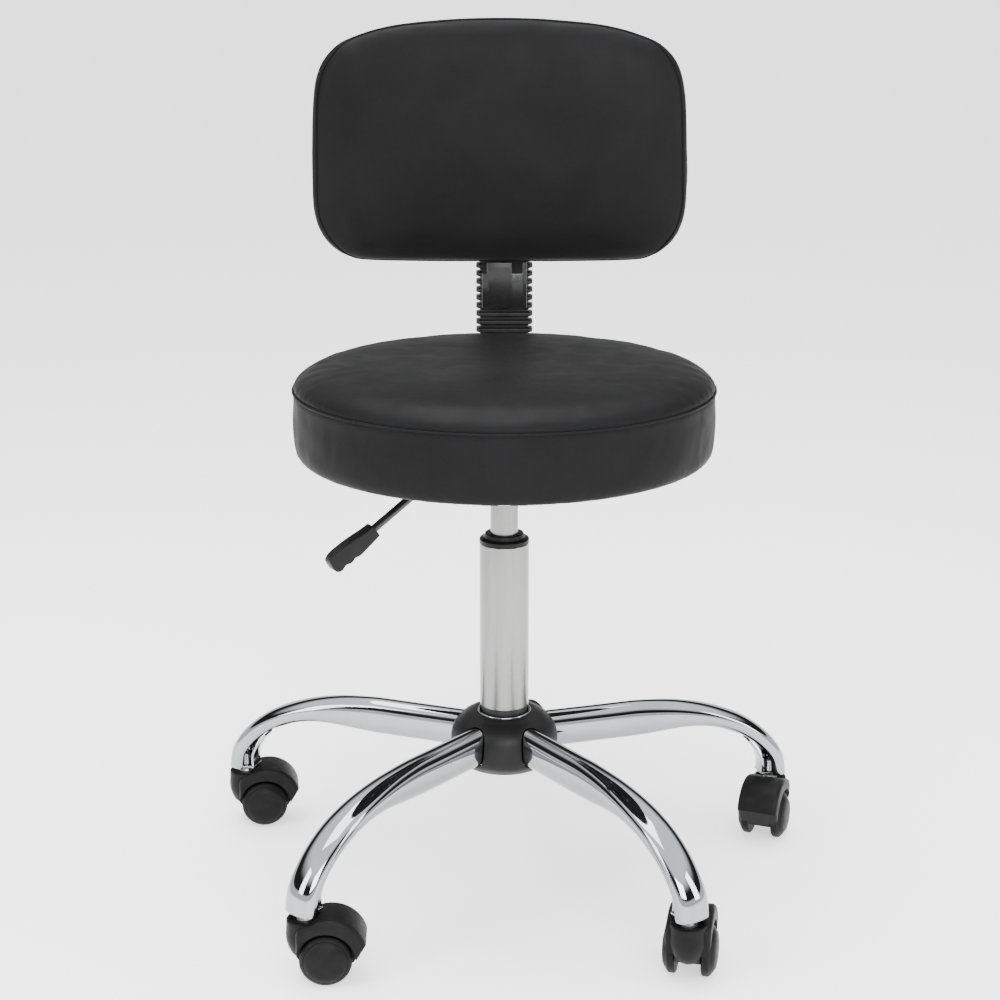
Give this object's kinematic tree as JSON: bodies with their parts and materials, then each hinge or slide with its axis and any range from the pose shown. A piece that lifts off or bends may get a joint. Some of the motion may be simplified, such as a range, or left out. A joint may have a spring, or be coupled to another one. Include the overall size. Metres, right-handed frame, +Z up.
{
  "type": "rolling stylist stool",
  "caption": "Rolling salon stool with a round padded seat, a small padded back on a ribbed upright, a gas lift with a hand lever, and a chrome star base on twin-wheel casters.",
  "frame": {"origin": "on the floor, at the centre of the whole stool's bounding box; the column's axis stands 5.1 mm to -X and 26.1 mm to -Y of it", "axes": "+Z up; the sitter faces -Y and the backrest stands at +Y; +X is to the right when the stool is seen from its front"},
  "size_m": [0.6129, 0.586, 0.8625],
  "materials": {
    "chrome": "polished",
    "satin_steel": "satin",
    "bare_steel": "satin",
    "dark_steel": "satin",
    "black_plastic": "matte",
    "gloss_plastic": "gloss",
    "black_rubber": "matte",
    "black_vinyl": "satin",
    "plywood": "matte"
  },
  "bodies": {
    "base": {"hub_cover": "black_plastic", "hub_sleeve": "dark_steel", "column_tube": "satin_steel", "guide_bush": "black_plastic", "retaining_clip": "dark_steel", "arm_1": "chrome", "arm_2": "chrome", "arm_3": "chrome", "arm_4": "chrome", "arm_5": "chrome", "arm_1_socket": "chrome", "arm_2_socket": "chrome", "arm_3_socket": "chrome", "arm_4_socket": "chrome", "arm_5_socket": "chrome", "caster_1_stem": "bare_steel", "caster_2_stem": "bare_steel", "caster_3_stem": "bare_steel", "caster_4_stem": "bare_steel", "caster_5_stem": "bare_steel"},
    "turntable": {"piston_rod": "bare_steel", "thrust_bearing": "bare_steel"},
    "seat": {"gas_cylinder": "satin_steel", "seat_plate": "dark_steel", "seat_board": "plywood", "seat_cushion": "black_vinyl", "lever_pin": "bare_steel", "bar_guide": "dark_steel"},
    "lever": {"lever_rod": "dark_steel", "lever_handle": "black_plastic"},
    "valve": {"release_button": "bare_steel"},
    "depth_clamp": {"depth_knob": "black_plastic"},
    "back_arm": {"back_bar": "dark_steel", "bar_sleeve": "gloss_plastic", "bellows": "black_rubber"},
    "backrest": {"back_bracket": "black_plastic", "back_board": "black_plastic", "back_cushion": "black_vinyl"},
    "height_clamp": {"back_knob": "black_plastic"},
    "caster_1": {"caster_1_hood": "black_plastic", "caster_1_axle": "bare_steel"},
    "caster_1_left": {"caster_1_wheel_left": "black_plastic"},
    "caster_1_right": {"caster_1_wheel_right": "black_plastic"},
    "caster_2": {"caster_2_hood": "black_plastic", "caster_2_axle": "bare_steel"},
    "caster_2_left": {"caster_2_wheel_left": "black_plastic"},
    "caster_2_right": {"caster_2_wheel_right": "black_plastic"},
    "caster_3": {"caster_3_hood": "black_plastic", "caster_3_axle": "bare_steel"},
    "caster_3_left": {"caster_3_wheel_left": "black_plastic"},
    "caster_3_right": {"caster_3_wheel_right": "black_plastic"},
    "caster_4": {"caster_4_hood": "black_plastic", "caster_4_axle": "bare_steel"},
    "caster_4_left": {"caster_4_wheel_left": "black_plastic"},
    "caster_4_right": {"caster_4_wheel_right": "black_plastic"},
    "caster_5": {"caster_5_hood": "black_plastic", "caster_5_axle": "bare_steel"},
    "caster_5_left": {"caster_5_wheel_left": "black_plastic"},
    "caster_5_right": {"caster_5_wheel_right": "black_plastic"}
  },
  "joints": [
    {"name": "seat_swivel", "type": "hinge", "parent": "base", "child": "turntable", "pos_m": [-0.00506, -0.02606, 0.3], "axis": [0, 0, 1], "continuous": true},
    {"name": "seat_lift", "type": "slide", "parent": "turntable", "child": "seat", "axis": [0, 0, 1], "range_m": [-0.033, 0.09]},
    {"name": "lever", "type": "hinge", "parent": "seat", "child": "lever", "pos_m": [-0.04371, -0.0491, 0.4343], "axis": [-0.512, 0.859, 0], "range_deg": [0, 5], "stiffness_Nm_per_rad": 1, "springref_deg": -2.86},
    {"name": "release_button", "type": "slide", "parent": "seat", "child": "valve", "axis": [0, 0, -1], "range_m": [0, 0.0045], "stiffness_N_per_m": 300},
    {"name": "depth_knob", "type": "hinge", "parent": "seat", "child": "depth_clamp", "pos_m": [-0.00506, 0.07194, 0.42], "axis": [0, 0, 1], "range_deg": [0, 540]},
    {"name": "back_depth", "type": "slide", "parent": "seat", "child": "back_arm", "axis": [0, 1, 0], "range_m": [0, 0.035]},
    {"name": "back_height", "type": "slide", "parent": "back_arm", "child": "backrest", "axis": [0, 0, 1], "range_m": [-0.02, 0.06], "deforming": ["bellows"]},
    {"name": "back_knob", "type": "hinge", "parent": "backrest", "child": "height_clamp", "pos_m": [-0.00506, 0.25694, 0.665], "axis": [0, 1, 0], "range_deg": [0, 540]},
    {"name": "caster_1_swivel", "type": "hinge", "parent": "base", "child": "caster_1", "pos_m": [-0.18964, -0.26445, 0.05], "axis": [0, 0, 1], "continuous": true},
    {"name": "caster_1_left_roll", "type": "hinge", "parent": "caster_1", "child": "caster_1_left", "pos_m": [-0.17078, -0.25159, 0.02469], "axis": [-0.0349, 0.9994, 0], "continuous": true},
    {"name": "caster_1_right_roll", "type": "hinge", "parent": "caster_1", "child": "caster_1_right", "pos_m": [-0.16993, -0.27597, 0.02469], "axis": [-0.0349, 0.9994, 0], "continuous": true},
    {"name": "caster_2_swivel", "type": "hinge", "parent": "base", "child": "caster_2", "pos_m": [0.16463, -0.27528, 0.05], "axis": [0, 0, 1], "continuous": true},
    {"name": "caster_2_left_roll", "type": "hinge", "parent": "caster_2", "child": "caster_2_left", "pos_m": [0.15708, -0.25373, 0.02469], "axis": [-0.9744, 0.225, 0], "continuous": true},
    {"name": "caster_2_right_roll", "type": "hinge", "parent": "caster_2", "child": "caster_2_right", "pos_m": [0.18085, -0.25922, 0.02469], "axis": [-0.9744, 0.225, 0], "continuous": true},
    {"name": "caster_3_swivel", "type": "hinge", "parent": "base", "child": "caster_3", "pos_m": [0.2844, 0.05831, 0.05], "axis": [0, 0, 1], "continuous": true},
    {"name": "caster_3_left_roll", "type": "hinge", "parent": "caster_3", "child": "caster_3_left", "pos_m": [0.28848, 0.03584, 0.02469], "axis": [0.9272, -0.3746, 0], "continuous": true},
    {"name": "caster_3_right_roll", "type": "hinge", "parent": "caster_3", "child": "caster_3_right", "pos_m": [0.26585, 0.04498, 0.02469], "axis": [0.9272, -0.3746, 0], "continuous": true},
    {"name": "caster_4_swivel", "type": "hinge", "parent": "base", "child": "caster_4", "pos_m": [-0.28882, 0.07582, 0.05], "axis": [0, 0, 1], "continuous": true},
    {"name": "caster_4_left_roll", "type": "hinge", "parent": "caster_4", "child": "caster_4_left", "pos_m": [-0.27141, 0.09059, 0.02469], "axis": [-0.1392, 0.9903, 0], "continuous": true},
    {"name": "caster_4_right_roll", "type": "hinge", "parent": "caster_4", "child": "caster_4_right", "pos_m": [-0.26801, 0.06643, 0.02469], "axis": [-0.1392, 0.9903, 0], "continuous": true},
    {"name": "caster_5_swivel", "type": "hinge", "parent": "base", "child": "caster_5", "pos_m": [0.00415, 0.2753, 0.05], "axis": [0, 0, 1], "continuous": true},
    {"name": "caster_5_left_roll", "type": "hinge", "parent": "caster_5", "child": "caster_5_left", "pos_m": [0.02436, 0.26469, 0.02469], "axis": [0.866, 0.5, 0], "continuous": true},
    {"name": "caster_5_right_roll", "type": "hinge", "parent": "caster_5", "child": "caster_5_right", "pos_m": [0.00323, 0.25249, 0.02469], "axis": [0.866, 0.5, 0], "continuous": true}
  ],
  "couplings": [
    {"joint": "release_button", "follows": "lever", "m_per_rad": 0.045}
  ]
}
